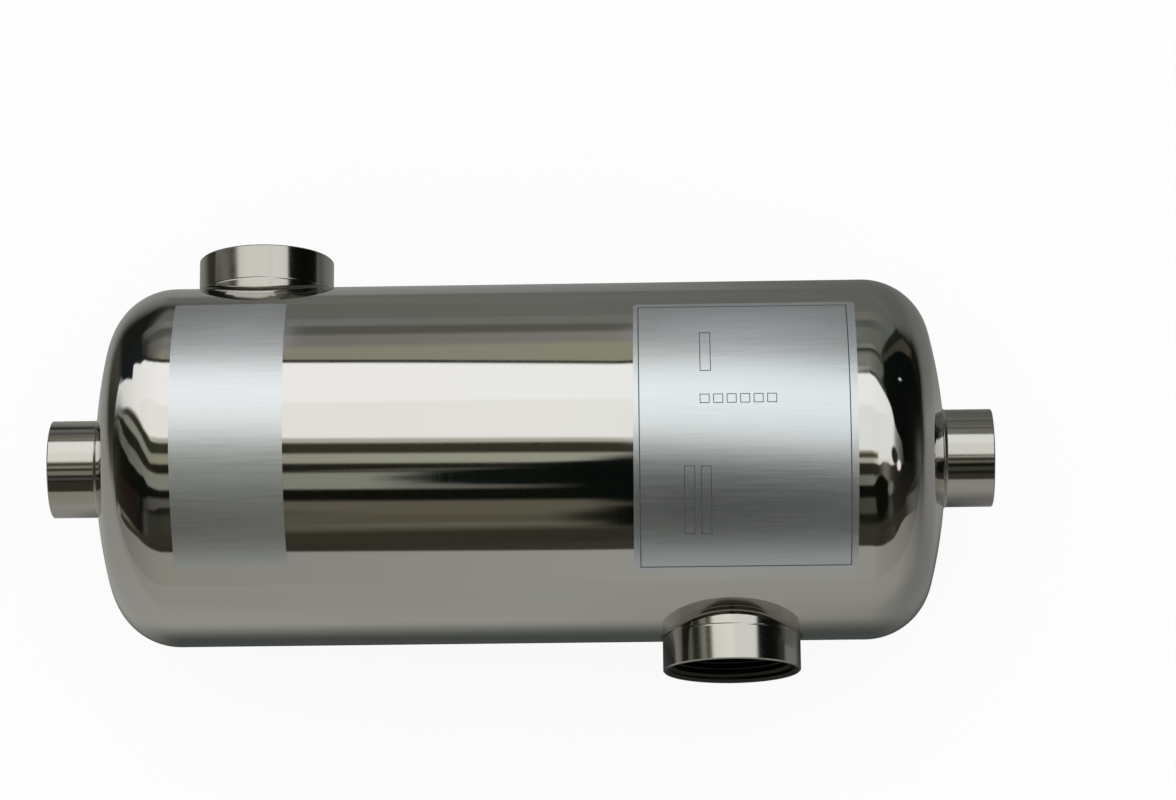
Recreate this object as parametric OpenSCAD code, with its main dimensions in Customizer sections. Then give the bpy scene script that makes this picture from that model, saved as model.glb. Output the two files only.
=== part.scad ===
// Shell-and-tube pool heat exchanger in polished stainless steel.
// The vessel lies along X with its lowest line on Z = 0, and the two pool water ports point along +Y and -Y.
// All sizes are in millimetres.

/* [Vessel] */
// Outer diameter of the shell and of both dished heads
shell_d = 140; // [126:1:170]
// Sheet thickness of the shell and heads
wall = 2; // [1.5:0.1:3]
// Distance between the two tangent lines, where the heads start to curve
shell_len = 266; // [256:1:420]
// Outer crown radius of the dished heads
head_crown_r = 198; // [150:1:260]
// Outer knuckle radius of the dished heads
head_knuckle_r = 26; // [14:1:34]
// Width of the girth seam that joins each head to the shell
seam_w = 2.4; // [1.5:0.1:3]

/* [End sockets] */
// Bore of the two end sockets, the major diameter of a 1 inch pipe thread
end_bore_d = 33.2; // [28:0.1:40]
// Wall of an end socket
end_socket_wall = 2.4; // [2:0.1:5]
// How far an end socket stands out beyond the crown of its head
end_out = 18.3; // [12:0.1:24]
// How far an end socket reaches in past the wall of its head
end_in = 3.8; // [2:0.1:8]
// Leg of the fillet weld around an end socket
end_weld_leg = 1.2; // [0.8:0.1:5]

/* [Pool water ports] */
// Bore of the two port sockets, the major diameter of a 1-1/2 inch pipe thread
port_bore_d = 47.8; // [40:0.1:56]
// Wall of a port socket
port_socket_wall = 2.6; // [2:0.1:5]
// How far a port socket stands out beyond the shell
port_out = 13; // [10:0.5:20]
// How far a port socket reaches in past the wall of the shell at its sides
port_in = 1.6; // [0.5:0.1:4]
// Leg of the fillet weld on the wall of a port socket
port_weld_up = 1.2; // [0.8:0.1:6]
// Leg of the same weld on the shell
port_weld_out = 1.1; // [0.8:0.1:5]
// Bare strip of shell between the left girth seam and the weld of the rear port, which points along +Y
rear_port_land = 3; // [0.5:0.1:40]
// Bare strip of shell between the right girth seam and the weld of the front port, which points along -Y
front_port_land = 22; // [0.5:0.1:40]

/* [Socket mouths] */
// Chamfer that leads a pipe into each threaded bore
mouth_chamfer = 1; // [0.4:0.1:1.2]
// Chamfer on the outer edge of each mouth
edge_break = 0.4; // [0.2:0.1:0.8]

/* [Tube bundle] */
// Outer diameter of a tube
tube_d = 10; // [8:0.1:11]
// Wall thickness of a tube
tube_wall = 0.8; // [0.5:0.1:1.2]
// Clear space between the shell and the outermost tubes
bundle_clear = 12; // [9:0.5:20]
// Rings of tubes around the middle one
tube_rings = 3; // [2:1:3]
// How far each tube stands out of the tube sheets
tube_out = 1; // [0.5:0.1:3]
// Thickness of the two tube sheets
tube_sheet_t = 3; // [2:0.1:3.4]
// Number of baffles
baffle_count = 4; // [4]
// Thickness of a baffle
baffle_t = 2; // [1:0.1:3]
// Tube pitches from the vessel's axis to the straight edge of a baffle
baffle_cut_pitches = 2; // [1:0.5:2.5]
// Clear length between a port and the baffle next to it
baffle_margin = 10; // [6:1:14]

/* [Fits] */
// Clearance around the tubes, tube sheets, baffles and sockets where they pass through or sit in another piece
fit_gap = 0.15; // [0.05:0.05:0.3]

/* [Hidden] */
$fn = 96;
// Finer steps for the crown, whose radius is far larger than the weld that sits on it
crown_fn = 720;
eps = 0.01;

shell_r = shell_d / 2;
shell_inner_r = shell_r - wall;
axis_z = shell_r;
tangent_x = shell_len / 2;
tube_span = shell_len - 2 * seam_w;

// Crown and knuckle arcs meet at this angle from the axis
knuckle_angle = asin((shell_r - head_knuckle_r) / (head_crown_r - head_knuckle_r));
head_h = head_crown_r - (head_crown_r - head_knuckle_r) * cos(knuckle_angle);
crown_centre = head_h - head_crown_r;

end_bore_r = end_bore_d / 2;
end_socket_r = end_bore_r + end_socket_wall;
end_rim = head_h + end_out;
end_foot = crown_centre + sqrt(pow(head_crown_r - wall, 2) - pow(end_socket_r, 2)) - end_in;

port_bore_r = port_bore_d / 2;
port_socket_r = port_bore_r + port_socket_wall;
port_rim = shell_r + port_out;
port_foot = sqrt(pow(shell_inner_r, 2) - pow(port_socket_r, 2)) - port_in;
port_weld_r = port_socket_r + port_weld_out;
rear_port_x = -tangent_x + seam_w + rear_port_land + port_weld_r;
front_port_x = tangent_x - seam_w - front_port_land - port_weld_r;

tube_r = tube_d / 2;
tube_pitch = (shell_inner_r - bundle_clear - tube_r) / tube_rings;
row_pitch = tube_pitch * sin(60);
row_count = 2 * tube_rings + 1;
tube_len = shell_len + 2 * tube_out;
baffle_span = front_port_x - rear_port_x - 2 * (port_socket_r + baffle_margin);
baffle_pitch = baffle_span / (baffle_count - 1);
baffle_mid_x = (front_port_x + rear_port_x) / 2;
baffle_cut = baffle_cut_pitches * tube_pitch;

// Sections around a port weld, and points along the hollow face of each
weld_sections = 96;
weld_face_steps = 5;

polished = "#c9c9c6";
seam = "#b7b7b3";
plate = "#aeb0b0";
tubing = "#bfc0bd";

// Places a piece made along Z so that it lies along the vessel's axis, pointing to +X (side 1) or -X (side -1)
module along_axis(side = 1) {
    translate([0, 0, axis_z]) rotate([0, side * 90, 0]) children();
}

// Places a piece made along Z so that it points out of the vessel along +Y (side 1) or -Y (side -1)
module at_port(x, side) {
    translate([x, 0, axis_z]) rotate([-side * 90, 0, 0]) children();
}

// Half outline of a dished end, filled to the axis, with its tangent line on the first axis
module dish_outline(crown_r, knuckle_r) {
    far = 2 * crown_r;
    edge_r = shell_r - head_knuckle_r + knuckle_r;
    intersection() {
        square([edge_r, far]);
        union() {
            translate([shell_r - head_knuckle_r, 0]) circle(knuckle_r);
            translate([0, crown_centre]) intersection() {
                circle(crown_r, $fn = crown_fn);
                polygon([[0, 0], far * [sin(knuckle_angle), cos(knuckle_angle)], [0, far]]);
            }
        }
    }
}

// Dished head with the hole that its end socket goes through
module dished_head(side) {
    color(polished) along_axis(side) translate([0, 0, tangent_x]) rotate_extrude() difference() {
        dish_outline(head_crown_r, head_knuckle_r);
        dish_outline(head_crown_r - wall, head_knuckle_r - wall);
        square([end_socket_r + fit_gap, 2 * head_h]);
    }
}

// Ring of weld metal between the shell and a head, ground flush
module girth_seam(side) {
    color(seam) along_axis(side) translate([0, 0, tangent_x - seam_w]) difference() {
        cylinder(h = seam_w, r = shell_r);
        translate([0, 0, -eps]) cylinder(h = seam_w + 2 * eps, r = shell_inner_r);
    }
}

// Shell tube with a round hole for each port socket
module shell() {
    hole_r = port_socket_r + fit_gap;
    color(polished) difference() {
        along_axis() translate([0, 0, -tube_span / 2]) difference() {
            cylinder(h = tube_span, r = shell_r);
            translate([0, 0, -eps]) cylinder(h = tube_span + 2 * eps, r = shell_inner_r);
        }
        at_port(rear_port_x, 1) cylinder(h = 2 * shell_r, r = hole_r);
        at_port(front_port_x, -1) cylinder(h = 2 * shell_r, r = hole_r);
    }
}

// Half outline of a threaded socket between the heights foot and rim
module socket_outline(outer_r, bore_r, foot, rim) {
    polygon([
        [bore_r, foot],
        [outer_r, foot],
        [outer_r, rim - edge_break],
        [outer_r - edge_break, rim],
        [bore_r + mouth_chamfer, rim],
        [bore_r, rim - mouth_chamfer]
    ]);
}

module end_socket(side) {
    color(polished) along_axis(side) translate([0, 0, tangent_x])
        rotate_extrude() socket_outline(end_socket_r, end_bore_r, end_foot, end_rim);
}

module port_socket(x, side) {
    color(polished) at_port(x, side)
        rotate_extrude() socket_outline(port_socket_r, port_bore_r, port_foot, port_rim);
}

// Hollow fillet weld between an end socket and the crown of its head
module end_weld(side) {
    leg = end_weld_leg;
    hollow = leg / 2;
    foot = crown_centre + sqrt(head_crown_r * head_crown_r - end_socket_r * end_socket_r);
    color(seam) along_axis(side) translate([0, 0, tangent_x]) rotate_extrude() difference() {
        translate([end_socket_r, foot - leg]) square([leg, 2 * leg]);
        translate([0, crown_centre]) circle(head_crown_r, $fn = crown_fn);
        translate([end_socket_r + leg + hollow, foot + leg + hollow])
            circle(norm([leg + hollow, hollow]));
    }
}

// Height of the shell's surface above the vessel's axis, at a distance off the port's axis and an angle around it
function saddle_height(off, angle) = sqrt(shell_r * shell_r - pow(off * sin(angle), 2));

// Outline of the port weld at one angle, as distances off the port's axis and heights above the vessel's axis
function weld_outline(angle) =
    let (
        root_off = port_socket_r / cos(180 / weld_sections),
        toe_off = port_weld_r,
        root = [root_off, saddle_height(root_off, angle)],
        top = root + [0, port_weld_up],
        toe = [toe_off, saddle_height(toe_off, angle)],
        bend = root + ((top - root) + (toe - root)) / 5
    )
    concat(
        [root],
        [for (i = [0:weld_face_steps]) let (t = i / weld_face_steps)
            (1 - t) * (1 - t) * top + 2 * t * (1 - t) * bend + t * t * toe]
    );

// Fillet weld that follows the saddle where a round port socket meets the round shell
module port_weld(x, side) {
    ring = weld_face_steps + 2;
    points = [for (i = [0:weld_sections - 1]) let (angle = 360 * i / weld_sections)
        for (p = weld_outline(angle)) [p[0] * cos(angle), p[0] * sin(angle), p[1]]];
    quads = [for (i = [0:weld_sections - 1]) for (j = [0:ring - 1])
        let (next = (i + 1) % weld_sections, up = (j + 1) % ring)
        [i * ring + j, i * ring + up, next * ring + up, next * ring + j]];
    triangles = [for (q = quads) for (k = [0, 1]) [q[0], q[k + 1], q[k + 2]]];
    color(seam) at_port(x, side) polyhedron(points = points, faces = triangles, convexity = 4);
}

// Offsets from the axis of the tubes in one row, counted from the middle row
function row_offsets(row) =
    let (count = row_count - abs(row))
    [for (i = [0:count - 1]) (i - (count - 1) / 2) * tube_pitch];

// Puts a child, made along X, at every tube's place in one row
module at_tubes(row) {
    for (y = row_offsets(row))
        translate([0, y, axis_z + row * row_pitch]) rotate([0, 90, 0]) children();
}

module tube_row(row) {
    color(tubing) at_tubes(row) difference() {
        cylinder(h = tube_len, r = tube_r, center = true);
        cylinder(h = tube_len + 2 * eps, r = tube_r - tube_wall, center = true);
    }
}

// Holes for the whole bundle, as long as the shell
module tube_holes() {
    for (row = [-tube_rings:tube_rings])
        at_tubes(row) cylinder(h = 2 * shell_len, r = tube_r + fit_gap, center = true);
}

// Plate drilled for the tubes, its outer face level with the tangent line
module tube_sheet(side) {
    color(plate) difference() {
        along_axis(side) translate([0, 0, tangent_x - tube_sheet_t])
            cylinder(h = tube_sheet_t, r = shell_inner_r - fit_gap);
        tube_holes();
    }
}

// Segmental baffle with its window on the +Y or -Y side in turn
module baffle(index) {
    x = baffle_mid_x + (index - (baffle_count - 1) / 2) * baffle_pitch;
    side = index % 2 == 0 ? -1 : 1;
    window = 2 * shell_r;
    color(plate) difference() {
        translate([x, 0, 0]) along_axis()
            cylinder(h = baffle_t, r = shell_inner_r - fit_gap, center = true);
        translate([x, side * (baffle_cut + window / 2), axis_z])
            cube([2 * baffle_t, window, window], center = true);
        tube_holes();
    }
}

shell();
dished_head(-1);  // left_head
dished_head(1);  // right_head
girth_seam(-1);  // left_girth_seam
girth_seam(1);  // right_girth_seam
end_socket(-1);  // left_end_socket
end_socket(1);  // right_end_socket
end_weld(-1);  // left_end_weld
end_weld(1);  // right_end_weld
port_socket(rear_port_x, 1);  // rear_port_socket
port_socket(front_port_x, -1);  // front_port_socket
port_weld(rear_port_x, 1);  // rear_port_weld
port_weld(front_port_x, -1);  // front_port_weld
tube_sheet(-1);  // left_tube_sheet
tube_sheet(1);  // right_tube_sheet
for (i = [0:baffle_count - 1])
    baffle(i);
for (i = [0:row_count - 1])
    tube_row(i - tube_rings);
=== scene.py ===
import math

import bpy
import numpy as np
from mathutils import Matrix, Vector


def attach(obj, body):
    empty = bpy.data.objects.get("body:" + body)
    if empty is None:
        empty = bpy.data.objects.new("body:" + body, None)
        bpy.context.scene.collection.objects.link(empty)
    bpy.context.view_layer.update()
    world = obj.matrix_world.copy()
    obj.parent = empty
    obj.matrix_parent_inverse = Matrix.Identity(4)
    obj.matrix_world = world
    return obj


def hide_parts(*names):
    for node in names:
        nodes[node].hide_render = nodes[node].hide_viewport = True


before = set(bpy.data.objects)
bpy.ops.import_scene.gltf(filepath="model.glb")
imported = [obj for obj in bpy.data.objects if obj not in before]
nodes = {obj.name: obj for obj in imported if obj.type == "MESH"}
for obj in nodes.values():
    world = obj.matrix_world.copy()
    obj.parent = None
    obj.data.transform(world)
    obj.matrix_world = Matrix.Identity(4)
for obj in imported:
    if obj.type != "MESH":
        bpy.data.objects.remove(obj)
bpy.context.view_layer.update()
mm = 0.001

# the vessel as the solids have it, in metres
vessel = {
    "radius": 70 * mm,
    "axisZ": 70 * mm,
    "tangentX": 133 * mm,
    "rearPortX": -100 * mm,
    "frontPortX": 81 * mm,
    "portRadius": 26.5 * mm,
    "portRim": 83 * mm,
    "endRim": 183.02 * mm,
}
print("frame loaded,", len(nodes), "nodes")


def linear(hexText):
    parts = [int(hexText[i:i + 2], 16) / 255 for i in (1, 3, 5)]
    return tuple(c / 12.92 if c <= 0.04045 else ((c + 0.055) / 1.055) ** 2.4 for c in parts) + (1.0,)


# adds a node, sets its inputs by name or number, and links an input where the value is a socket
def addNode(tree, kind, inputs=None, **settings):
    made = tree.nodes.new(kind)
    for key, value in settings.items():
        setattr(made, key, value)
    for key, value in (inputs or {}).items():
        if isinstance(value, bpy.types.NodeSocket):
            tree.links.new(value, made.inputs[key])
        else:
            made.inputs[key].default_value = value
    return made


def newMaterial(name):
    material = bpy.data.materials.new(name)
    material.use_nodes = True
    tree = material.node_tree
    tree.nodes.clear()
    out = tree.nodes.new("ShaderNodeOutputMaterial")
    return material, tree, out


# smooth faces, with the edges crisp where they turn by more than the crease
def makeMesh(name, points, faces, material, crease=40):
    mesh = bpy.data.meshes.new(name)
    mesh.from_pydata([tuple(p) for p in points], [], faces)
    mesh.validate()
    mesh.update()
    mesh.materials.append(material)
    mesh.polygons.foreach_set("use_smooth", [True] * len(mesh.polygons))
    mesh.set_sharp_from_angle(angle=math.radians(crease))
    piece = bpy.data.objects.new(name, mesh)
    bpy.context.scene.collection.objects.link(piece)
    return piece


# Materials. Stainless steel 304, sheet pressed and welded, then buffed to a mirror: sharp reflections, a
# faint wave from rolling and pressing, and buffing lines that only change the gloss a little.
steelFinish = {
    "colour": "#c5c4c0",
    "roughness": 0.05,
    "roughnessSpread": 0.025,
    "waveLength": 55,
    "waveDepth": 0.016,
    "buffLine": 0.9,  # real lines are about 0.02 mm, drawn coarser so that they show
    "buffReach": 40,
}


# grain says along which of x, y and z the lines lie close; lathe gives the place and way of a socket, whose
# mouth and bore keep the dull cut of the tool and are painted dark there as painted shade
def mirrorSteel(name, finish, grain, lathe=None):
    material, tree, out = newMaterial(name)
    place = addNode(tree, "ShaderNodeTexCoord").outputs["Object"]
    across = 1000 / finish["buffLine"]
    along = 1000 / finish["buffReach"]
    stretch = tuple(across if axis in grain else along for axis in "xyz")
    lines = addNode(tree, "ShaderNodeMapping", {"Vector": place, "Scale": stretch})
    buff = addNode(tree, "ShaderNodeTexNoise", {"Vector": lines.outputs[0], "Scale": 1.0, "Detail": 2.0})
    low = finish["roughness"] - finish["roughnessSpread"] / 2
    gloss = addNode(tree, "ShaderNodeMapRange", {
        "Value": buff.outputs[0], "From Min": 0.3, "From Max": 0.7,
        "To Min": low, "To Max": low + finish["roughnessSpread"]})
    wave = addNode(tree, "ShaderNodeTexNoise", {
        "Vector": place, "Scale": 1000 / finish["waveLength"], "Detail": 0.0})
    bump = addNode(tree, "ShaderNodeBump", {
        "Height": wave.outputs[0], "Strength": 1.0, "Distance": finish["waveDepth"] * mm})
    shader = addNode(tree, "ShaderNodeBsdfPrincipled", {
        "Base Color": linear(finish["colour"]), "Metallic": 1.0,
        "Roughness": gloss.outputs[0], "Normal": bump.outputs[0]})
    tree.links.new(shader.outputs[0], out.inputs[0])
    if lathe:
        off = addNode(tree, "ShaderNodeVectorMath", {0: place, 1: lathe["centre"]}, operation="SUBTRACT")
        level = addNode(tree, "ShaderNodeVectorMath", {
            0: off.outputs[0], 1: lathe["across"]}, operation="MULTIPLY")
        radius = addNode(tree, "ShaderNodeVectorMath", {0: level.outputs[0]}, operation="LENGTH")
        boreCutAndShade = addNode(tree, "ShaderNodeMapRange", {
            "Value": radius.outputs["Value"], "From Min": lathe["cutRadius"] * mm,
            "From Max": (lathe["cutRadius"] - 0.2) * mm})
        # painted shade: the bore and mouth take a dark colour for the shade inside the socket; their
        # roughness is the real cut
        colour = addNode(tree, "ShaderNodeMix", {
            "Factor": boreCutAndShade.outputs[0], "A": linear(finish["colour"]), "B": linear(lathe["boreShadeColour"])},
            data_type="RGBA")
        rough = addNode(tree, "ShaderNodeMix", {
            0: boreCutAndShade.outputs[0], 2: gloss.outputs[0], 3: lathe["cutRoughness"]})
        reach = addNode(tree, "ShaderNodeVectorMath", {
            0: off.outputs[0], 1: lathe["way"]}, operation="DOT_PRODUCT")
        line = addNode(tree, "ShaderNodeMath", {
            0: reach.outputs["Value"], 1: lathe["line"] * mm}, operation="SUBTRACT")
        line = addNode(tree, "ShaderNodeMath", {0: line.outputs[0]}, operation="ABSOLUTE")
        groove = addNode(tree, "ShaderNodeMapRange", {
            "Value": line.outputs[0], "From Max": lathe["lineWidth"] * mm}, interpolation_type="SMOOTHSTEP")
        turned = addNode(tree, "ShaderNodeBump", {
            "Height": groove.outputs[0], "Strength": 1.0, "Distance": lathe["lineDepth"] * mm,
            "Normal": bump.outputs[0]})
        tree.links.new(colour.outputs["Result"], shader.inputs["Base Color"])
        tree.links.new(rough.outputs[0], shader.inputs["Roughness"])
        tree.links.new(turned.outputs[0], shader.inputs["Normal"])
    return material


steelMirror = mirrorSteel("stainlessSteelMirrorBuffed", steelFinish, "x")
turnedFinish = dict(steelFinish, colour="#b9b7b0", roughness=0.12, roughnessSpread=0.03, buffReach=30)
# turned on a lathe and lightly buffed: softer than the sheet, dull in the bore and painted dark there as
# painted shade, one fine line round the port
latheFinish = {
    # painted shade inside the bore and mouth
    "boreShadeColour": "#3b3a36",
    "cutRoughness": 0.34,
    "line": 69.6,
    "lineWidth": 0.4,
    "lineDepth": 0.05,
}
portLathe = dict(latheFinish, across=(1, 0, 1), cutRadius=26.0)
# the rear socket takes a darker copy of the same turned steel: painted shade
rearTurnedShaded = mirrorSteel("stainlessSteelTurnedRearPortShaded", dict(turnedFinish, colour="#b0aea7"), "y", dict(
    portLathe, centre=(vessel["rearPortX"], 0, vessel["axisZ"]), way=(0, 1, 0)))
frontTurned = mirrorSteel("stainlessSteelTurnedFrontPort", turnedFinish, "y", dict(
    portLathe, centre=(vessel["frontPortX"], 0, vessel["axisZ"]), way=(0, -1, 0)))
endTurned = mirrorSteel("stainlessSteelTurnedEnds", turnedFinish, "x", dict(
    latheFinish, centre=(0, 0, vessel["axisZ"]), across=(0, 1, 1), way=(1, 0, 0), cutRadius=18.5, line=400))
# weld metal, ground by hand and buffed: greyer, with short waves; the end welds are blended and stay dull
steelWeld = mirrorSteel("stainlessWeldGroundAndBuffed", dict(
    steelFinish, colour="#85827a", roughness=0.15, roughnessSpread=0.08, waveLength=6, waveDepth=0.03,
    buffLine=0.5, buffReach=6), "xyz")
steelEndWeld = mirrorSteel("stainlessWeldBlended", dict(
    steelFinish, roughness=0.3, roughnessSpread=0.06, waveLength=9, waveDepth=0.02, buffLine=0.5,
    buffReach=6), "x")
# the inside as it left the mill: satin plates, drawn tubes with lines along them, threads rough from cutting
# and painted near black as painted shade in the bores
steelPlate = mirrorSteel("stainlessPlateMillFinish", dict(
    steelFinish, colour="#a9a9a6", roughness=0.38, roughnessSpread=0.12, waveLength=12, waveDepth=0.02), "x")
steelTube = mirrorSteel("stainlessTubeDrawn", dict(
    steelFinish, colour="#b4b4b0", roughness=0.26, roughnessSpread=0.1, waveLength=20, waveDepth=0.01), "yz")
# painted shade: the threads are coloured near black for the shade deep in the bores
steelThreadShaded = mirrorSteel("stainlessThreadPaintedShade", dict(
    steelFinish, colour="#302f2b", roughness=0.34, roughnessSpread=0.1, waveLength=3, waveDepth=0.02), "x")

nodeFinish = {
    "shell": steelMirror, "head": steelMirror, "seam": steelMirror,
    "rear_port_socket": rearTurnedShaded, "front_port_socket": frontTurned, "end_socket": endTurned,
    "end_weld": steelEndWeld, "port_weld": steelWeld,
    "sheet": steelPlate, "baffle": steelPlate, "tube_row": steelTube,
}
for name, node in nodes.items():
    finish = next(nodeFinish[key] for key in nodeFinish if key in name)
    node.data.materials.clear()
    node.data.materials.append(finish)
print("finishes set")


# Where a mesh of the solids closes on itself its shading is one-sided, and a mirror shows that as a break. A
# turned face has no slope around its own axis, so that slope is taken off the normals. Nothing moves.
def settleNormals(node, centre, axis, tangentX=None, lean=0):
    mesh = node.data
    count = len(mesh.loops)
    normals = np.empty(count * 3)
    mesh.corner_normals.foreach_get("vector", normals)
    normals = normals.reshape(-1, 3)
    corner = np.empty(count, dtype=int)
    mesh.loops.foreach_get("vertex_index", corner)
    places = np.empty(len(mesh.vertices) * 3)
    mesh.vertices.foreach_get("co", places)
    places = places.reshape(-1, 3)[corner] - centre
    around = np.cross(axis, places)
    around /= np.maximum(np.linalg.norm(around, axis=1), 1e-9)[:, None]
    slope = (normals * around).sum(axis=1)
    normals -= np.where(np.abs(slope) < 0.08, slope, 0)[:, None] * around
    if tangentX:
        # at the tangent line a head runs on from the shell
        level = (np.abs(np.abs(places[:, 0]) - tangentX) < 0.02 * mm) & (np.abs(normals[:, 0]) < 0.1)
        normals[level, 0] = 0
    # a lean about the axis carries the bands of light round by so many degrees
    normals += math.tan(math.radians(lean)) * np.cross(axis, normals)
    normals /= np.linalg.norm(normals, axis=1)[:, None]
    mesh.normals_split_custom_set(normals.tolist())


for name, node in nodes.items():
    if "port_socket" in name:
        portX = vessel["rearPortX"] if "rear" in name else vessel["frontPortX"]
        settleNormals(node, (portX, 0, vessel["axisZ"]), (0, 1, 0))
    elif any(key in name for key in ("shell", "seam", "end_socket", "end_weld")):
        lean = 2.2 if name == "right_end_socket" else 0
        settleNormals(node, (0, 0, vessel["axisZ"]), (1, 0, 0), lean=lean)
    elif "head" in name:
        settleNormals(node, (0, 0, vessel["axisZ"]), (1, 0, 0), vessel["tangentX"])
print("normals settled")


# Silver polyester foil, metallised and faintly brushed along the vessel: a dull bluish shine that draws the
# room out into broad soft bands round the shell. Sizes in mm.
foil = {
    "colour": "#c8cdcf",
    "lineColour": "#d8dddf",
    "metal": 0.97,
    "roughness": 0.252,
    "roughnessSpread": 0.06,
    "brushed": 0.9,
    "grain": 0.6,  # real lines are about 0.05 mm, drawn coarser so that they show
    "grainDepth": 0.0028,
    "thickness": 0.08,
    "corner": 1.6,
}


def foilMaterial():
    material, tree, out = newMaterial("silverFoilMetallised")
    place = addNode(tree, "ShaderNodeTexCoord").outputs["Object"]
    drawn = addNode(tree, "ShaderNodeMapping", {"Vector": place, "Scale": (0.03, 1, 1)})
    grain = addNode(tree, "ShaderNodeTexNoise", {
        "Vector": drawn.outputs[0], "Scale": 1000 / foil["grain"], "Detail": 2.0})
    spread = foil["roughnessSpread"] / 2
    gloss = addNode(tree, "ShaderNodeMapRange", {
        "Value": grain.outputs[0],
        "To Min": foil["roughness"] - spread, "To Max": foil["roughness"] + spread})
    colour = addNode(tree, "ShaderNodeMix", {
        "Factor": grain.outputs[0], "A": linear(foil["colour"]), "B": linear(foil["lineColour"])},
        data_type="RGBA")
    roundShell = addNode(tree, "ShaderNodeTangent", direction_type="RADIAL", axis="X")
    bump = addNode(tree, "ShaderNodeBump", {
        "Height": grain.outputs[0], "Strength": 1.0, "Distance": foil["grainDepth"] * mm})
    shader = addNode(tree, "ShaderNodeBsdfPrincipled", {
        "Base Color": colour.outputs["Result"], "Metallic": foil["metal"], "Anisotropic": foil["brushed"],
        "Tangent": roundShell.outputs[0], "Roughness": gloss.outputs[0], "Normal": bump.outputs[0]})
    tree.links.new(shader.outputs[0], out.inputs[0])
    return material


# Screen ink on the foil: thin, dark and a little uneven where the mesh of the screen left less of it
def inkMaterial():
    material, tree, out = newMaterial("screenInkCharcoal")
    place = addNode(tree, "ShaderNodeTexCoord").outputs["Object"]
    mesh = addNode(tree, "ShaderNodeTexNoise", {"Vector": place, "Scale": 1000 / 0.5, "Detail": 1.0})
    colour = addNode(tree, "ShaderNodeMix", {
        "Factor": mesh.outputs[0], "A": linear("#373b3e"), "B": linear("#414548")}, data_type="RGBA")
    shader = addNode(tree, "ShaderNodeBsdfPrincipled", {
        "Base Color": colour.outputs["Result"], "Roughness": 0.5})
    tree.links.new(shader.outputs[0], out.inputs[0])
    return material


silverFoil = foilMaterial()
screenInk = inkMaterial()


# a point on the shell: x along the vessel and an angle from the top towards +Y, lifted off the steel
def onShell(x, angle, lift):
    r = vessel["radius"] + lift
    return (x, r * math.sin(angle), vessel["axisZ"] + r * math.cos(angle))


# Labels: bare foil sheets with rounded corners, bent round the shell. Sizes in mm and degrees.
labels = {
    "foilStrip": {"x": (-129.6, -87.0), "angles": (49.6, -46.0), "skew": 1.5},
    "foilPlate": {"x": (44.4, 128.3), "angles": (45.4, -49.1), "skew": -0.8},
}


def foilLabel(name, spec):
    x0, x1 = spec["x"]
    top, bottom = (math.radians(a) for a in spec["angles"])
    height = vessel["radius"] / mm * (top - bottom)
    corner = foil["corner"]
    ends = [corner * (1 - math.cos(math.radians(a))) for a in range(0, 91, 10)]
    middle = [corner + (height - 2 * corner) * i / 96 for i in range(1, 96)]
    rows = ends + middle + [height - e for e in reversed(ends)]
    columns = 25
    points = []
    for lift in (foil["thickness"] * mm, 0.01 * mm):
        for row in rows:
            edge = min(row, height - row)
            inset = corner - math.sqrt(max(0, corner ** 2 - (corner - edge) ** 2)) if edge < corner else 0
            lean = spec["skew"] * (row / height - 0.5)
            for i in range(columns):
                x = x0 + inset + (x1 - x0 - 2 * inset) * i / (columns - 1) + lean
                points.append(onShell(x * mm, top - row / height * (top - bottom), lift))
    count = len(rows)
    layer = count * columns
    faces = []
    for r in range(count - 1):
        for c in range(columns - 1):
            a = r * columns + c
            faces.append((a, a + columns, a + columns + 1, a + 1))
            faces.append((layer + a, layer + a + 1, layer + a + columns + 1, layer + a + columns))
    rim = [c for c in range(columns)] + [r * columns + columns - 1 for r in range(1, count)]
    rim += [(count - 1) * columns + c for c in range(columns - 2, -1, -1)]
    rim += [r * columns for r in range(count - 2, 0, -1)]
    for a, b in zip(rim, rim[1:] + rim[:1]):
        faces.append((a, b, layer + b, layer + a))
    piece = makeMesh(name, points, faces, silverFoil)
    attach(piece, "root")
    return piece


for name, spec in labels.items():
    foilLabel(name, spec)

# Printed rules on the wider sheet: a border and blank boxes. x in mm, angles in degrees.
plateRules = {
    "line": 0.42,
    "thinLine": 0.3,
    "border": (46.4, 125.6, 43.6, -47.9),
    "fields": [(69.5, 73.7, 30.4, 15.4), (63.1, 67.2, -14.7, -36.2), (69.4, 73.4, -14.8, -36.3)],
    "tickBoxes": {"x": 69.3, "pitch": 5.03, "count": 6, "size": 3.7, "angle": 7.6},
}


def printedRules():
    points, faces = [], []
    lift = (foil["thickness"] + 0.03) * mm

    def patch(x0, x1, a0, a1):
        steps = max(2, int(abs(a0 - a1) / 2))
        start = len(points)
        for i in range(steps + 1):
            angle = math.radians(a0 + (a1 - a0) * i / steps)
            points.append(onShell(x0 * mm, angle, lift))
            points.append(onShell(x1 * mm, angle, lift))
        for i in range(steps):
            a = start + 2 * i
            faces.append((a, a + 2, a + 3, a + 1))

    def box(x0, x1, a0, a1, line):
        turn = math.degrees(line * mm / vessel["radius"])
        patch(x0, x0 + line, a0, a1)
        patch(x1 - line, x1, a0, a1)
        patch(x0 + line, x1 - line, a0, a0 - turn)
        patch(x0 + line, x1 - line, a1 + turn, a1)

    box(*plateRules["border"], plateRules["line"])
    for field in plateRules["fields"]:
        box(*field, plateRules["thinLine"])
    ticks = plateRules["tickBoxes"]
    drop = math.degrees(ticks["size"] * mm / vessel["radius"])
    for i in range(ticks["count"]):
        x = ticks["x"] + i * ticks["pitch"]
        box(x, x + ticks["size"], ticks["angle"], ticks["angle"] - drop, plateRules["thinLine"])
    piece = makeMesh("plateRules", points, faces, screenInk)
    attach(piece, "root")


printedRules()
print("labels laid on the shell")


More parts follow.
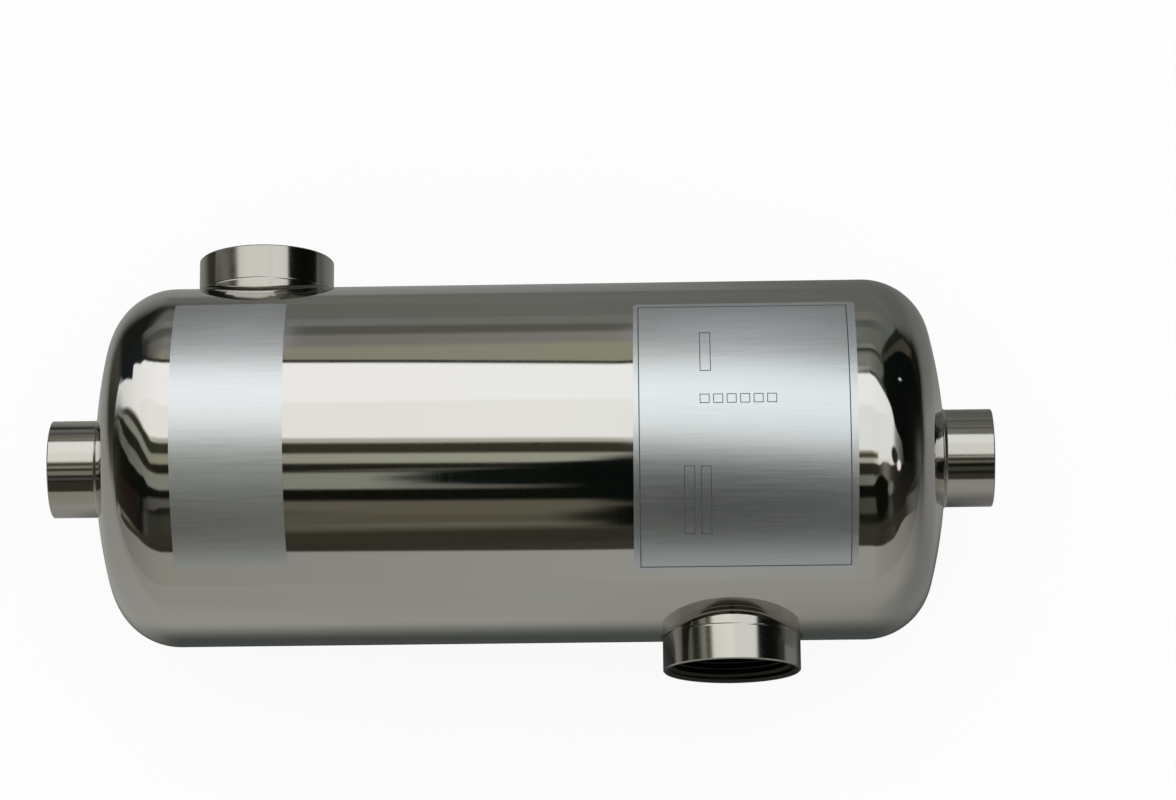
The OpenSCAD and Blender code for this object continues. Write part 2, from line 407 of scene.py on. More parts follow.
# Fillet welds round the ports, smooth versions of the faceted solids, a little uneven from hand grinding
portWeld = {"up": 1.2, "out": 1.1, "sections": 288, "steps": 10, "unevenness": 0.03}


def portWeldPiece(name, portX, side, node):
    sections, steps = portWeld["sections"], portWeld["steps"]
    big, small = vessel["radius"] / mm, vessel["portRadius"] / mm
    points, faces = [], []
    ring = steps + 2
    for i in range(sections):
        turn = 2 * math.pi * i / sections
        ripple = math.sin(7 * turn) + math.sin(17 * turn + 1) + 0.6 * math.sin(41 * turn)
        wobble = portWeld["unevenness"] * ripple

        def saddle(off):
            return math.sqrt(big ** 2 - (off * math.sin(turn)) ** 2)

        toeOff = small + portWeld["out"] + wobble
        root = Vector((small - 0.05, saddle(small) - 0.05))
        top = Vector((small, saddle(small) + portWeld["up"] + wobble))
        toe = Vector((toeOff, saddle(toeOff)))
        bend = root + ((top - root) + (toe - root)) / 5
        outline = [root]
        for j in range(steps + 1):
            t = j / steps
            outline.append((1 - t) ** 2 * top + 2 * t * (1 - t) * bend + t * t * toe)
        for off, rise in outline:
            # the port's own frame is x, z and out along y
            points.append((portX + off * math.cos(turn) * mm, side * rise * mm,
                           vessel["axisZ"] + off * math.sin(turn) * mm))
    for i in range(sections):
        following = (i + 1) % sections
        for j in range(ring):
            up = (j + 1) % ring
            quad = (i * ring + j, i * ring + up, following * ring + up, following * ring + j)
            faces.append(quad if side < 0 else tuple(reversed(quad)))
    piece = makeMesh(name, points, faces, steelWeld)
    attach(piece, "root")
    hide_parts(node)


portWeldPiece("rearPortFillet", vessel["rearPortX"], 1, "rear_port_weld")
portWeldPiece("frontPortFillet", vessel["frontPortX"], -1, "front_port_weld")
print("port welds made")


# Pipe threads, 11 to the inch, as ridges that stand in from the plain bores of the solids
threads = {"pitch": 25.4 / 11, "depth": 1.48, "lead": 1.2, "perTurn": 120, "sunk": 0.06}


def threadPiece(name, boreRadius, length, place):
    pitch, depth = threads["pitch"], threads["depth"]
    turns = (length - 2 * threads["lead"]) / pitch
    count = int(turns * threads["perTurn"])
    half = pitch / 2
    outline = [(-0.46, 0), (-0.1, 0.9), (0, 1), (0.1, 0.9), (0.46, 0)]
    points, faces = [], []
    for i in range(count + 1):
        turn = 2 * math.pi * i / threads["perTurn"]
        fade = min(1, i / (0.4 * threads["perTurn"]), (count - i) / (0.4 * threads["perTurn"]))
        rise = threads["lead"] + pitch * i / threads["perTurn"]
        for along, inward in outline:
            r = boreRadius + threads["sunk"] - (depth * fade + threads["sunk"]) * inward
            points.append(place @ Vector((r * math.cos(turn) * mm, r * math.sin(turn) * mm,
                                          -(rise + along * 2 * half) * mm)))
    width = len(outline)
    for i in range(count):
        for j in range(width - 1):
            a = i * width + j
            faces.append((a, a + 1, a + width + 1, a + width))
    faces.append(tuple(range(width)))
    faces.append(tuple(reversed(range(count * width, (count + 1) * width))))
    piece = makeMesh(name, points, faces, steelThreadShaded)
    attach(piece, "root")


def facing(origin, direction):
    return Matrix.Translation(origin) @ Vector(direction).to_track_quat("Z", "Y").to_matrix().to_4x4()


axisZ = vessel["axisZ"]
rearRim = (vessel["rearPortX"], vessel["portRim"], axisZ)
frontRim = (vessel["frontPortX"], -vessel["portRim"], axisZ)
threadPiece("rearPortThread", 23.9, 21, facing(rearRim, (0, 1, 0)))
threadPiece("frontPortThread", 23.9, 21, facing(frontRim, (0, -1, 0)))
threadPiece("leftEndThread", 16.6, 24, facing((-vessel["endRim"], 0, axisZ), (-1, 0, 0)))
threadPiece("rightEndThread", 16.6, 24, facing((vessel["endRim"], 0, axisZ), (1, 0, 0)))
print("threads cut")


# Studio: a pale floor under an even sky, and painted cards that only the polished steel sees
studio = {
    "floorColour": "#f8f8f6",
    "floorGlow": 0.9,
    "skyStrength": 1.0,
    "domeRadius": 1.5,
    "domeStep": (1.0, 0.5),
}

# The painted dome, in degrees: along the vessel from left to right, and over it from the rear floor line to
# the front one. Each line is an edge, and the colours below it run from left to right.
domeTop = [(-90, "#35342c"), (-82, "#24251d"), (-77, "#34352f"), (-73, "#9c9c98"), (-69, "#8c8e8a"),
           (-64, "#b9b9b6"), (-58, "#16191a"), (-36, "#191c1b"), (-30, "#4d4d48"), (-12, "#696965"),
           (8, "#66665f"), (24, "#5c5d58"), (30, "#565a54"), (34, "#565953"), (37, "#3a3c36"),
           (42, "#322f27"), (47, "#3b362d"), (52, "#463f36"), (55, "#1c1a15"), (58, "#0b0c0a"),
           (74, "#10100d"), (79, "#1a1917"), (83, "#302f2c"), (87, "#403f3b"), (90, "#484743")]
domeLines = [
    {"edge": [(-32, 84), (-12, 86), (2, 84), (8, 84.2), (13, 84.4), (22, 83.6), (30, 83)],
     "soft": 3, "reach": (-32, 27),
     "colours": [(-32, "#2b2c28"), (-26, "#45443e"), (-12, "#4d4c46"), (2, "#53524c"), (8, "#4c4e49"),
                 (13, "#50504b"), (22, "#545550"), (30, "#545850")]},
    {"edge": [(-32, 76), (-12, 77), (2, 77), (8, 77.4), (13, 77), (22, 76), (30, 74)],
     "soft": 4, "reach": (-32, 27),
     "colours": [(-32, "#2b2c29"), (-26, "#55534d"), (-12, "#6a6761"), (2, "#75736c"), (8, "#5f5f59"),
                 (13, "#5d5d56"), (22, "#5b5c55"), (30, "#4a4c45")]},
    {"edge": [(6, 63.4), (13, 63.2), (18, 61.5), (24, 58)],
     "soft": 3, "reach": (7, 21),
     "colours": [(6, "#6d706a"), (13, "#6f6f64"), (18, "#5b5b51"), (24, "#47483f")]},
    {"edge": [(6, 59.8), (13, 59.6), (18, 58.4), (24, 55.6)],
     "soft": 1.2, "reach": (7, 22),
     "colours": [(6, "#25281f"), (13, "#27251b"), (18, "#34332a"), (24, "#383830")]},
    {"edge": [(-32, 66), (-12, 66), (2, 68), (6, 58.4), (7.5, 56.8), (13, 56.6), (18, 55.2), (22, 52.6),
              (26, 50.4), (30, 50)],
     "soft": 5, "reach": (-32, 28),
     "colours": [(-32, "#232421"), (-26, "#4b4a44"), (-12, "#7d7a6c"), (2, "#84826f"), (8, "#6f706a"),
                 (13, "#67665e"), (18, "#5f5e57"), (22, "#565650"), (26, "#3c3d39"), (30, "#1b1d19")]},
    {"edge": [(20, 52), (24, 60), (28, 68), (31, 75), (35, 84), (37, 92), (60, 130)],
     "soft": 4, "reach": (25, 60),
     "colours": [(20, "#3a3a32"), (24, "#2e2f28"), (28, "#232620"), (31, "#1c1f18"), (60, "#171914")]},
    {"edge": [(20, 50), (26, 56.6), (31, 62.6), (36, 71), (40, 80), (45, 95), (60, 125)],
     "soft": 3, "reach": (26, 60),
     "colours": [(20, "#3a392f"), (31, "#31332b"), (36, "#36332a"), (44, "#3b362d"), (52, "#3d382f"),
                 (60, "#2b2a24")]},
    {"edge": [(20, 50), (26, 52.4), (28, 53.4), (31, 56.4), (36, 63), (41, 71.5), (48, 82), (56, 95),
              (62, 104), (90, 120)],
     "soft": 3, "reach": (28, 95),
     "colours": [(20, "#14160f"), (30, "#0c100c"), (40, "#080c0a"), (60, "#090b09"), (74, "#0e0f0c"),
                 (79, "#1a1917"), (83, "#302f2c"), (87, "#403f3b"), (90, "#484743")]},
    {"edge": [(-34, 70), (-30, 65.5), (-26, 63), (-22, 61), (-18, 60), (-12, 58.5), (-9, 57),
              (-5, 55.6), (0, 53.2), (1.6, 52), (2.4, 54.4), (6.4, 54), (7.5, 43.6), (11, 42.8),
              (15, 41.8), (20, 39.8), (25, 36.6), (30, 32.6), (35, 28.4)],
     "soft": 1, "reach": (-34, 32),
     "colours": [(-34, "#1b1d1b"), (-20, "#33302a"), (-9, "#24231d"), (2, "#2a2922"), (8, "#3b3b34"),
                 (13, "#393935"), (20, "#484844"), (26, "#3b3d39"), (32, "#1d1f1b")]},
    {"edge": [(-75, 97), (-62, 92), (-58.6, 82), (-55.4, 74), (-51.4, 65), (-49.4, 62), (-47.4, 69),
              (-46.2, 74), (-43.6, 71.6), (-40, 67), (-38, 65), (-36, 65.6), (-33, 65), (-30, 62),
              (-26, 60), (-22, 58), (-18, 57), (-12, 55.8), (-9, 54.6), (-5, 53.2), (0, 50.8),
              (1.6, 49.6), (2.4, 52), (6.4, 52), (7.5, 41), (10, 40.3), (15, 38.8), (20, 35.6),
              (25, 32.3), (30, 29), (35, 25.4), (38, 22.4), (40, 19.5), (42, 15.5), (44, 11.5), (48, 7),
              (52, 4), (56, 0), (58, -9), (60, -16), (90, -17)],
     "soft": 1.4,
     "colours": [(-90, "#35342c"), (-82, "#25261e"), (-77, "#33342e"), (-74, "#83837e"),
                 (-70, "#9a9994"), (-66, "#b3b2ae"), (-62, "#cdccc7"), (-50, "#dad8d3"),
                 (-30, "#e4e2dd"), (-12, "#e8e6e2"), (0, "#e9e8e4"), (10, "#e2e3de"), (30, "#dcdcd8"),
                 (38, "#d6d6d2"), (41, "#cccbc6"), (43, "#b5b5af"), (45, "#8f8f89"), (48, "#74746d"),
                 (52, "#5f5f59"), (55, "#4c4c47"), (58, "#2c2d28"), (61, "#151612"), (74, "#11110e"),
                 (79, "#1a1917"), (83, "#302f2c"), (90, "#484743")]},
    {"edge": [(-30, 34), (-12, 26), (0, 27), (8, 20), (20, 16)],
     "soft": 2, "reach": (-40, 40),
     "colours": [(-40, "#dad7d1"), (-26, "#dfddd5"), (-12, "#dedcd5"), (0, "#e1e0da"), (10, "#d6d6d1"),
                 (40, "#d6d6d2")]},
    {"edge": [(-90, 130), (-70, 95), (-68.5, 76), (-66, 60), (-63, 53), (-60, 48), (-57, 43),
              (-52.7, 36.6), (-48, 30.6), (-45, 26.6), (-42, 22.6), (-38, 17.6), (-35, 14), (-30, 10),
              (-27, 7.6), (-24, 6.6), (-20, 6.2), (-12, 5.2), (-9, 4.2), (-5, 3.2), (0, 2.2),
              (1.7, 1.6), (4, -3.6), (7.5, -8), (10, -8.6), (18, -9)],
     "soft": 1.6, "reach": (-90, 17),
     "colours": [(-90, "#35342c"), (-82, "#25261e"), (-77, "#2e2f28"), (-74, "#6a6a65"),
                 (-70, "#84837e"), (-60, "#8f8e85"), (-50, "#98978c"), (-30, "#a9a89b"),
                 (-12, "#a3a292"), (2, "#a3a293"), (10, "#7c7969"), (17, "#b9b5a8")]},
    {"edge": [(-90, 128), (-71, 93), (-69, 72), (-66, 57), (-63, 50.5), (-60, 45.4), (-57, 40.4),
              (-52.7, 33.6), (-48, 27.6), (-45, 24), (-42, 20.2), (-38, 15.6), (-35, 12.4), (-30, 8.6),
              (-25, 4.4), (-20, 3), (-12, 2.2), (-9, 1.2), (-5, 0.3), (0, -0.4), (1.7, -1), (4, -6),
              (7.5, -9.6), (10, -10), (18, -10.4)],
     "soft": 1.6, "reach": (-90, 16),
     "colours": [(-90, "#34332b"), (-82, "#24251d"), (-77, "#2c2d26"), (-74, "#64645f"),
                 (-70, "#72716c"), (-66, "#57554f"), (-62, "#3a3731"), (-50, "#2c2b23"),
                 (-30, "#2b2b20"), (-12, "#2f2f22"), (2, "#2f2e25"), (10, "#453f33"), (15, "#4d483c"),
                 (18, "#8f8a7d")]},
    {"edge": [(-90, 126), (-72, 92), (-70, 70), (-67, 53), (-65, 47), (-62, 41.4), (-58, 34.4),
              (-55.6, 29.6), (-52, 24.6), (-49, 20.6), (-44.4, 15), (-39.5, 10), (-35, 4.9), (-30, 0),
              (-27, -2.4), (-24, -3.8), (-20, -4.3), (-12, -4.6), (-9, -5.4), (-5, -6.1), (0, -7),
              (1.7, -7.4), (4, -11), (7.5, -12.6), (18, -13)],
     "soft": 1.8, "reach": (-90, 36),
     "colours": [(-90, "#33332b"), (-82, "#24251d"), (-77, "#2b2c25"), (-74, "#54544f"),
                 (-70, "#6b6b65"), (-65, "#74746c"), (-50, "#7c7d71"), (-30, "#7b7b70"),
                 (-12, "#83836f"), (-5, "#8f8f80"), (2, "#8f8f80"), (10, "#a19e8f"), (20, "#cfcabe"),
                 (36, "#cfcbc0")]},
    {"edge": [(-90, 124), (-73, 90), (-71.5, 70), (-70, 58), (-67, 46), (-65, 38), (-63, 31.6),
              (-58.5, 23.4), (-54, 16.8), (-49.2, 12), (-44.4, 7.3), (-39.7, 1.9), (-35, -2.7),
              (-30, -6.8), (-27, -9.2), (-24, -10.2), (-20, -10.5), (-12, -10.8), (-9, -11.4),
              (-5, -12), (0, -12.8), (4, -15), (7.5, -15.6), (14, -16), (20, -17), (26, -15),
              (32, -15.6), (38, -17.5), (90, -18)],
     "soft": 1.8,
     "colours": [(-90, "#32322a"), (-82, "#23241c"), (-76, "#25261d"), (-70, "#1f2016"),
                 (-60, "#1b1c11"), (-50, "#20211a"), (-30, "#221e19"), (-12, "#1d1b15"), (2, "#22211b"),
                 (10, "#26251d"), (18, "#2a2920"), (23, "#45433a"), (28, "#67645a"), (33, "#5b594f"),
                 (38, "#35332b"), (46, "#211f1a"), (57, "#171713"), (74, "#131310"), (79, "#1b1a18"),
                 (83, "#302f2c"), (90, "#454440")]},
    {"edge": [(-90, 120), (-74, 90), (-72, 62), (-71, 45), (-70, 36), (-69, 28.6), (-66.5, 22),
              (-64.6, 17.4), (-60, 9), (-55, 4.2), (-50, 0.4), (-45, -3.9), (-40, -8.3), (-35, -11.6),
              (-30, -14.2), (-20, -16.4), (-12, -17), (-9, -17.2), (-5, -17.6), (0, -18.4), (4, -21),
              (7.5, -23), (14, -23.6), (20, -22)],
     "soft": 2, "reach": (-90, 20),
     "colours": [(-90, "#32322a"), (-82, "#23241c"), (-77, "#2a2c25"), (-74, "#52544e"),
                 (-70, "#5c5e56"), (-64, "#585a50"), (-56, "#62635a"), (-50, "#62625a"),
                 (-38, "#6a6a63"), (-26, "#74746a"), (-12, "#77776a"), (-6, "#7b7b70"),
                 (-4.6, "#62625a"), (-2.5, "#54544c"), (-1, "#3a3a33"), (0.5, "#191914"),
                 (6.6, "#191914"), (7.6, "#6d6c61"), (10, "#6d6c61"), (20, "#33322a")]},
    {"edge": [(-90, 116), (-80, 92), (-78, 62), (-77, 46), (-75, 29), (-72.5, 18), (-70.5, 12.4),
              (-68, 7), (-65.5, 2.2), (-60, -6.6), (-55, -9.8), (-50, -12.9), (-45, -16.2),
              (-40, -17.8), (-37, -18.4), (-34, -21), (-30, -24.2), (-20, -26), (-12, -26.8),
              (-9, -27.2), (-5, -27.8), (0, -28.6), (7.5, -29.4), (12, -28.6), (15, -26), (20, -23.4),
              (26, -24), (31, -27), (36, -32)],
     "soft": 1.8, "reach": (-90, 32),
     "colours": [(-90, "#31312a"), (-82, "#22231b"), (-75, "#15160e"), (-60, "#100f09"),
                 (-44, "#0b0f0d"), (-30, "#0d0e09"), (-12, "#100f0a"), (2, "#0d0e09"), (20, "#0a0a06"),
                 (32, "#12120d")]},
    {"edge": [(-90, -24), (-62, -28), (-44, -32), (-36, -34), (-30, -32), (-12, -32), (-9, -34.6),
              (-5, -35.4), (2, -36), (7.5, -37), (20, -38), (34, -38), (90, -30)],
     "soft": 2.6,
     "colours": [(-90, "#32302a"), (-82, "#25231d"), (-74, "#201b16"), (-66, "#211813"),
                 (-50, "#1b1714"), (-45, "#1c1d1a"), (-42, "#0d0d09"), (-39, "#181713"),
                 (-35, "#33322e"), (-26, "#45443f"), (-14, "#4a4843"), (-9, "#565246"), (2, "#565246"),
                 (9, "#3e3f35"), (17, "#3a3b31"), (20, "#16160f"), (23, "#0e0e0a"), (30, "#11110d"),
                 (36, "#26251f"), (48, "#221c15"), (60, "#1b1a16"), (74, "#171613"), (80, "#24231f"),
                 (84, "#34332f"), (90, "#454440")]},
    {"edge": [(-90, -36), (-30, -40), (-20, -39.6), (-12, -37.6), (-10, -38), (-8, -41)],
     "soft": 1.4, "reach": (-32, -8),
     "colours": [(-32, "#2c2b27"), (-26, "#1d1c17"), (-12, "#191812"), (-8, "#4c483d")]},
    {"edge": [(-90, -46), (-30, -43.4), (-12, -42.6), (-5, -44), (7.5, -47), (20, -47), (90, -46)],
     "soft": 2.6,
     "colours": [(-90, "#33312b"), (-80, "#28251f"), (-66, "#231c17"), (-50, "#1e1815"),
                 (-44, "#14130f"), (-40, "#1a1813"), (-35, "#3c3b37"), (-28, "#2f2e28"),
                 (-12, "#2f2e25"), (-9, "#4f4b3e"), (2, "#4b483b"), (8, "#1a1b12"), (18, "#14140d"),
                 (28, "#1a1912"), (34, "#2f2e29"), (46, "#241f18"), (58, "#1f1c17"), (66, "#24231e"),
                 (76, "#2b2a26"), (83, "#3a3935"), (90, "#474642")]},
    {"edge": [(-90, -94), (-78, -83), (-74, -73), (-70, -66.5), (-65, -63), (-60, -61), (-50, -60),
              (-40, -60), (-12, -54.6), (2, -53.6), (7.5, -54), (20, -54), (36, -52), (50, -54),
              (58, -54), (62, -49), (70, -56), (76, -66), (80, -80), (90, -96)],
     "soft": 4,
     "colours": [(-90, "#3a382f"), (-78, "#4c493f"), (-70, "#57544a"), (-62, "#5d5a4e"),
                 (-52, "#45423a"), (-42, "#2f2d24"), (-12, "#2e2c23"), (-6, "#302e24"), (2, "#2b2921"),
                 (10, "#33322a"), (22, "#2b2a23"), (36, "#2d2b25"), (50, "#2a2921"), (58, "#2b2a22"),
                 (64, "#45443d"), (70, "#52514b"), (76, "#4e4d47"), (82, "#3f3e39"), (90, "#4a4944")]},
    {"edge": [(-90, -96), (-75, -84), (-70, -74), (-65, -68), (-60, -65), (-50, -62.6), (-40, -62),
              (-12, -63), (2, -63), (20, -63), (34, -60), (50, -60)],
     "soft": 2.4, "reach": (-90, 40),
     "colours": [(-90, "#35332a"), (-70, "#312d24"), (-60, "#2f2c23"), (-46, "#332f26"),
                 (-12, "#2a2720"), (2, "#34322a"), (20, "#2a2821"), (40, "#3a372f")]},
    {"edge": [(-90, -99), (-75, -91), (-70, -81), (-65, -76), (-60, -72), (-55, -69), (-50, -67.2),
              (-45, -66.4), (-40, -66.8), (-12, -67), (-9, -67.6), (0, -69), (7.5, -68.4), (15, -69.4),
              (25, -70.2), (30, -70), (38, -70.6), (44, -68.6), (50, -66), (56, -66), (62, -70),
              (68, -80), (72, -92), (80, -110)],
     "soft": 1.4,
     "colours": [(-90, "#605e55"), (-70, "#6d6b62"), (-50, "#76746c"), (-30, "#7f7c74"),
                 (-12, "#838178"), (-5, "#898880"), (4, "#8e8d87"), (8, "#8b8a84"), (24, "#817f78"),
                 (40, "#7f7b73"), (56, "#75726b"), (72, "#5c5a54"), (90, "#3c3b37")]},
]
# soft-edged patches over the lines, in degrees: place along and over, half width, half height and turn, then
# the colour and how soft the edge is
domePatches = [
    (-4.7, -16.2, 2.6, 0.8, 0, "#47473f", 0.9),
    (-3.4, -50.6, 4.2, 1.5, 0, "#57554c", 0.9),
    (-1.5, -21.2, 3.6, 4.9, 0, "#0a100c", 0.25),
    (0.7, -16.5, 2.6, 4.6, 0, "#0a100c", 0.3),
    (2.7, -24, 3.5, 16.5, 0, "#080c09", 0.25),
    (3.2, -46.4, 3.4, 8.8, 0, "#0a0c09", 0.3),
    (-75, -86, 2.6, 7, -8, "#77726a", 0.7),
    (4.5, -37, 2.9, 27, 0, "#080b08", 0.25),
    (4.5, 74, 2.6, 16, 0, "#87878a", 0.4),
    (22, -38, 8.6, 13, 0, "#0b0b07", 0.4),
    (23, 45, 3.6, 5.4, 0, "#595954", 0.9),
    (43.5, -11, 4.6, 6.8, 22, "#241f19", 0.45),
    (50.6, -18.4, 3.2, 4, 0, "#dfd4ce", 0.5),
    (36.6, -33, 3.8, 4.6, -16, "#65655e", 0.7),
    (36, -47, 3.4, 8, 0, "#3b3a35", 0.9),
    (49.2, 52.2, 2.7, 0.75, 44, "#d2d6d1", 0.6),
    (-9.8, 74, 1.2, 16, 0, "#8c8c8b", 0.4),
]
# the floor as the steel shows it, by direction: near the vessel and farther off
floorNear = [(0, "#73726e"), (10, "#767571"), (14, "#6b6a65"), (18, "#64635e"), (26, "#60605b"),
             (34, "#5c5c57"), (40, "#555550"), (51, "#565651"), (60, "#5f5f5a"), (68, "#686864"),
             (90, "#70706c"), (112, "#74736f"), (150, "#76746f"), (180, "#817f79"),
             (225, "#8b8a83"), (270, "#8a8982"), (300, "#838179"), (315, "#75746e"),
             (330, "#6a6965"), (345, "#6a6965"), (360, "#73726e")]
floorFar = [(0, "#3a3935"), (10, "#23221e"), (19, "#11110d"), (29, "#13120e"), (34, "#12110d"),
            (38, "#14140f"), (43, "#161611"), (48, "#191b16"), (52, "#2a2c26"), (57, "#54554f"),
            (62, "#595a55"), (90, "#605f5a"), (110, "#5b5b55"), (117, "#2c2d29"), (124, "#141715"),
            (140, "#171914"), (147, "#191a15"), (152, "#3b3b33"), (158, "#36352d"),
            (163, "#2a2a22"), (168, "#2e2d25"), (176, "#45433b"), (184, "#6a6860"),
            (210, "#807e76"), (270, "#8a8983"), (315, "#84827b"), (330, "#77756f"),
            (345, "#605f59"), (360, "#3a3935")]
# how far out in metres the near floor turns into the far one, by direction
floorTurn = [(0, 0.5), (16, 0.45), (22, 0.32), (28, 0.27), (34, 0.3), (38, 0.43), (43, 0.6),
             (47, 0.8), (51, 1.1), (56, 1.1), (62, 0.2), (130, 0.2), (150, 0.11), (154, 0.11),
             (158, 0.135), (164, 0.19), (170, 0.27), (178, 0.48), (186, 0.8), (200, 0.8),
             (230, 0.3), (250, 0.2), (340, 0.2), (360, 0.5)]


# the light a card gives so that the steel shows the colour that is written
def seenInSteel(hexText):
    steel = linear(steelFinish["colour"])
    return [c / s for c, s in zip(linear(hexText)[:3], steel)]


def colourAlong(stops, at):
    places = [p for p, _ in stops]
    lights = np.array([seenInSteel(c) for _, c in stops])
    return np.stack([np.interp(at, places, lights[:, k]) for k in range(3)], axis=-1)


def smoothShare(value):
    held = np.clip(value, 0, 1)
    return held * held * (3 - 2 * held)


def domeColours(along, over):
    fine = np.arange(-92, 92.01, 0.25)
    window = np.ones(7) / 7
    light = colourAlong(domeTop, along)
    for line in domeLines:
        places, heights = zip(*line["edge"])
        bent = np.interp(fine, places, heights)
        bent[3:-3] = np.convolve(bent, window, "valid")
        share = smoothShare((np.interp(along, fine, bent) - over) / line["soft"] + 0.5)
        if "reach" in line:
            low, high = line["reach"]
            share = share * smoothShare((along - low) / 3 + 1) * smoothShare((high - along) / 3 + 1)
        light += (colourAlong(line["colours"], along) - light) * share[..., None]
    for mid, height, wide, tall, turn, colour, soft in domePatches:
        c, s = math.cos(math.radians(turn)), math.sin(math.radians(turn))
        u, v = along - mid, over - height
        far = np.hypot((u * c + v * s) / wide, (v * c - u * s) / tall)
        share = smoothShare((1 - far) / soft + 0.5)
        light += (np.array(seenInSteel(colour)) - light) * share[..., None]
    return light


def floorColours(x, y):
    turn = np.degrees(np.arctan2(y, x)) % 360
    outX = np.maximum(np.abs(x) - 0.16, 0)
    away = np.hypot(outX, np.maximum(np.abs(y) - 0.06, 0))
    middle = np.interp(turn, *zip(*floorTurn))
    share = smoothShare((away / middle - 0.5) / 1.0)[..., None]
    light = colourAlong(floorNear, turn) * (1 - share) + colourAlong(floorFar, turn) * share
    pale = smoothShare((away / middle - 1.5) / 0.6)
    pale = pale * smoothShare((turn - 33) / 4) * smoothShare((47 - turn) / 4)
    light += (np.array(seenInSteel("#3d382f")) - light) * pale[..., None]
    beside = smoothShare((0.2 - np.abs(x)) / 0.06)
    rear = smoothShare((y - 0.185) / 0.015) * beside
    light += (np.array(seenInSteel("#585852")) - light) * (rear * (1 - share[..., 0]))[..., None]
    # painted shadow of the vessel on the floor card, which takes no shadow itself: shade in front of the
    # vessel, deeper shade under it
    shade = smoothShare((0.17 + y) / 0.077) * smoothShare(-y / 0.02) * beside
    light += (np.array(seenInSteel("#3a3d39")) - light) * shade[..., None]
    shadowUnder = smoothShare((0.082 + y) / 0.04) * smoothShare((0.05 - y) / 0.04) * beside
    light += (np.array(seenInSteel("#1d1f1c")) - light) * shadowUnder[..., None]
    return light


def hideFromAllButSteel(card):
    card.visible_camera = False
    card.visible_diffuse = False
    card.visible_transmission = False
    card.visible_shadow = False
    card.visible_volume_scatter = False


# white for the camera and in metal, yet part of it is lit so that the vessel's shadow stays
def floorMaterial():
    material, tree, out = newMaterial("paintMattWhite")
    ray = addNode(tree, "ShaderNodeLightPath")
    seen = addNode(tree, "ShaderNodeMath", {
        0: ray.outputs["Is Camera Ray"], 1: ray.outputs["Is Glossy Ray"]}, operation="MAXIMUM")
    seen = addNode(tree, "ShaderNodeMath", {
        0: seen.outputs[0], 1: ray.outputs["Is Transmission Ray"]}, operation="MAXIMUM")
    share = addNode(tree, "ShaderNodeMath", {
        0: seen.outputs[0], 1: studio["floorGlow"]}, operation="MULTIPLY")
    paint = addNode(tree, "ShaderNodeBsdfPrincipled", {
        "Base Color": linear(studio["floorColour"]), "Roughness": 0.9, "Specular IOR Level": 0.1})
    glow = addNode(tree, "ShaderNodeEmission", {"Color": (1, 1, 1, 1)})
    mixed = addNode(tree, "ShaderNodeMixShader", {
        0: share.outputs[0], 1: paint.outputs[0], 2: glow.outputs[0]})
    tree.links.new(mixed.outputs[0], out.inputs[0])
    return material


def cardMaterial():
    material, tree, out = newMaterial("paintedCard")
    paint = addNode(tree, "ShaderNodeAttribute", attribute_name="paint")
    glow = addNode(tree, "ShaderNodeEmission", {"Color": paint.outputs["Color"]})
    tree.links.new(glow.outputs[0], out.inputs[0])
    return material


def paintedGrid(name, points, rows, columns, lights, material):
    faces = []
    for r in range(rows - 1):
        for c in range(columns - 1):
            a = r * columns + c
            faces.append((a, a + columns, a + columns + 1, a + 1))
    card = makeMesh(name, points, faces, material)
    paint = card.data.attributes.new("paint", "FLOAT_COLOR", "POINT")
    paint.data.foreach_set("color", np.concatenate([lights, np.ones((len(lights), 1))], axis=1).ravel())
    hideFromAllButSteel(card)


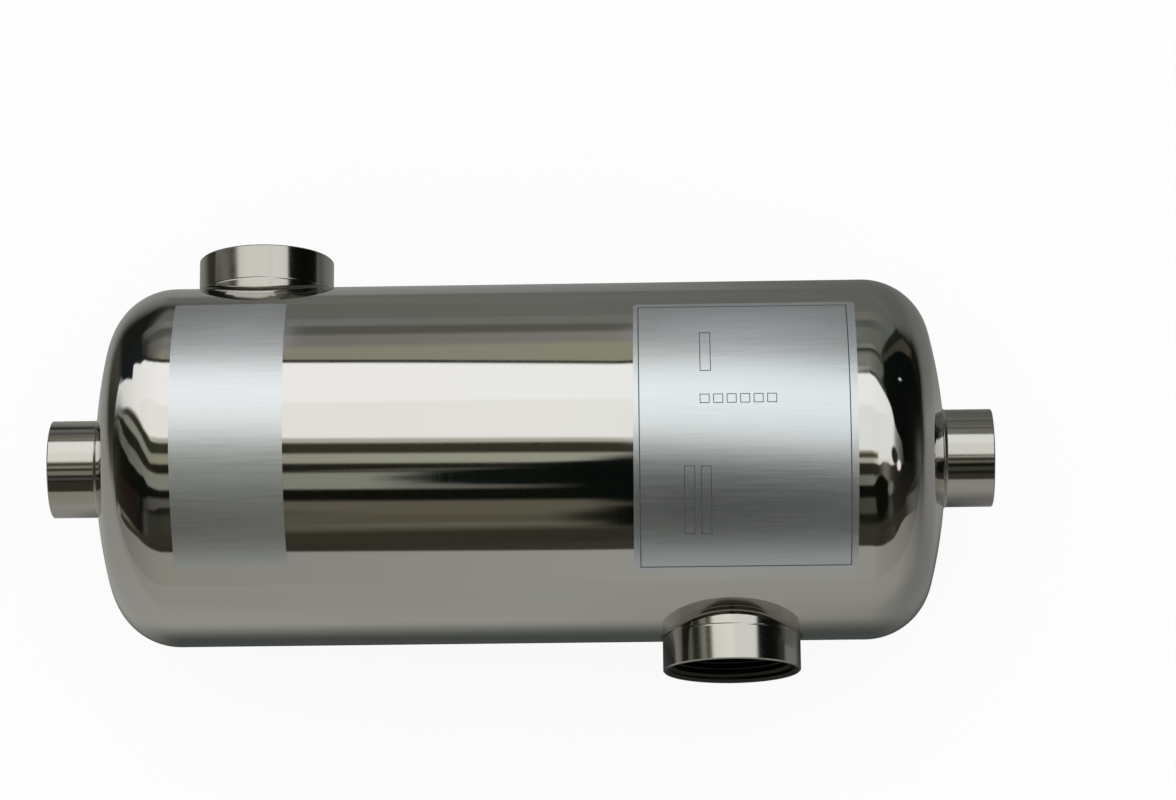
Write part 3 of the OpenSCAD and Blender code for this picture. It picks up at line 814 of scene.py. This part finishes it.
def buildStudio():
    reach = 12.0
    corners = [(-reach, -reach, 0), (reach, -reach, 0), (reach, reach, 0), (-reach, reach, 0)]
    floor = makeMesh("studioFloor", corners, [(0, 1, 2, 3)], floorMaterial())
    material = cardMaterial()
    radius = studio["domeRadius"]
    stepAlong, stepOver = studio["domeStep"]
    rows = np.arange(-90.5, 90.51, stepOver)
    columns = np.arange(-90, 90.01, stepAlong)
    over, along = np.meshgrid(rows, columns, indexing="ij")
    a, o = np.radians(along), np.radians(over)
    dome = np.stack([radius * np.sin(a), radius * np.cos(a) * np.sin(o),
                     vessel["axisZ"] + radius * np.cos(a) * np.cos(o)], axis=-1)
    # the outer rows hang down to the floor as a skirt
    dome[over < -90.1, 2] = 0
    dome[over > 90.1, 2] = 0
    lights = domeColours(along, over)
    paintedGrid("paintedDome", dome.reshape(-1, 3), *along.shape, lights.reshape(-1, 3), material)
    coarse = np.arange(0.6, 1.601, 0.05)
    edge = np.concatenate([np.arange(-1.6, -0.6, 0.05), np.arange(-0.6, 0.6, 0.01), coarse])
    y, x = np.meshgrid(edge, edge, indexing="ij")
    level = np.stack([x, y, np.full_like(x, 0.3 * mm)], axis=-1)
    paintedGrid("paintedFloor", level.reshape(-1, 3), *x.shape, floorColours(x, y).reshape(-1, 3), material)
    world = bpy.data.worlds.new("evenSky")
    bpy.context.scene.world = world
    world.use_nodes = True
    sky = world.node_tree.nodes["Background"]
    sky.inputs["Color"].default_value = (1, 1, 1, 1)
    sky.inputs["Strength"].default_value = studio["skyStrength"]


buildStudio()
print("studio built")


# Camera fitted to the photograph's outline: place, axes and framing
camera = {
    "place": (0.05063, -0.36260, 1.57254),
    "right": (0.999381, -0.004836, -0.034844),
    "up": (0.012868, 0.972113, 0.234160),
    "focalPixels": 3963.5,
    "aimPixel": (520.6, 463.9),
    "imageSize": (1176, 800),
}


def placeCamera():
    data = bpy.data.cameras.new("photoCamera")
    body = bpy.data.objects.new("photoCamera", data)
    bpy.context.scene.collection.objects.link(body)
    right, up = Vector(camera["right"]), Vector(camera["up"])
    turn = Matrix((right, up, right.cross(up))).transposed().to_4x4()
    body.matrix_world = Matrix.Translation(camera["place"]) @ turn
    width, height = camera["imageSize"]
    data.sensor_width = 36
    data.lens = 36 * camera["focalPixels"] / width
    data.shift_x = (width / 2 - camera["aimPixel"][0]) / width
    data.shift_y = (camera["aimPixel"][1] - height / 2) / width
    data.clip_start = 0.05
    data.clip_end = 50
    bpy.context.scene.camera = body


placeCamera()
bpy.context.scene.view_settings.view_transform = "Standard"
print("camera placed")
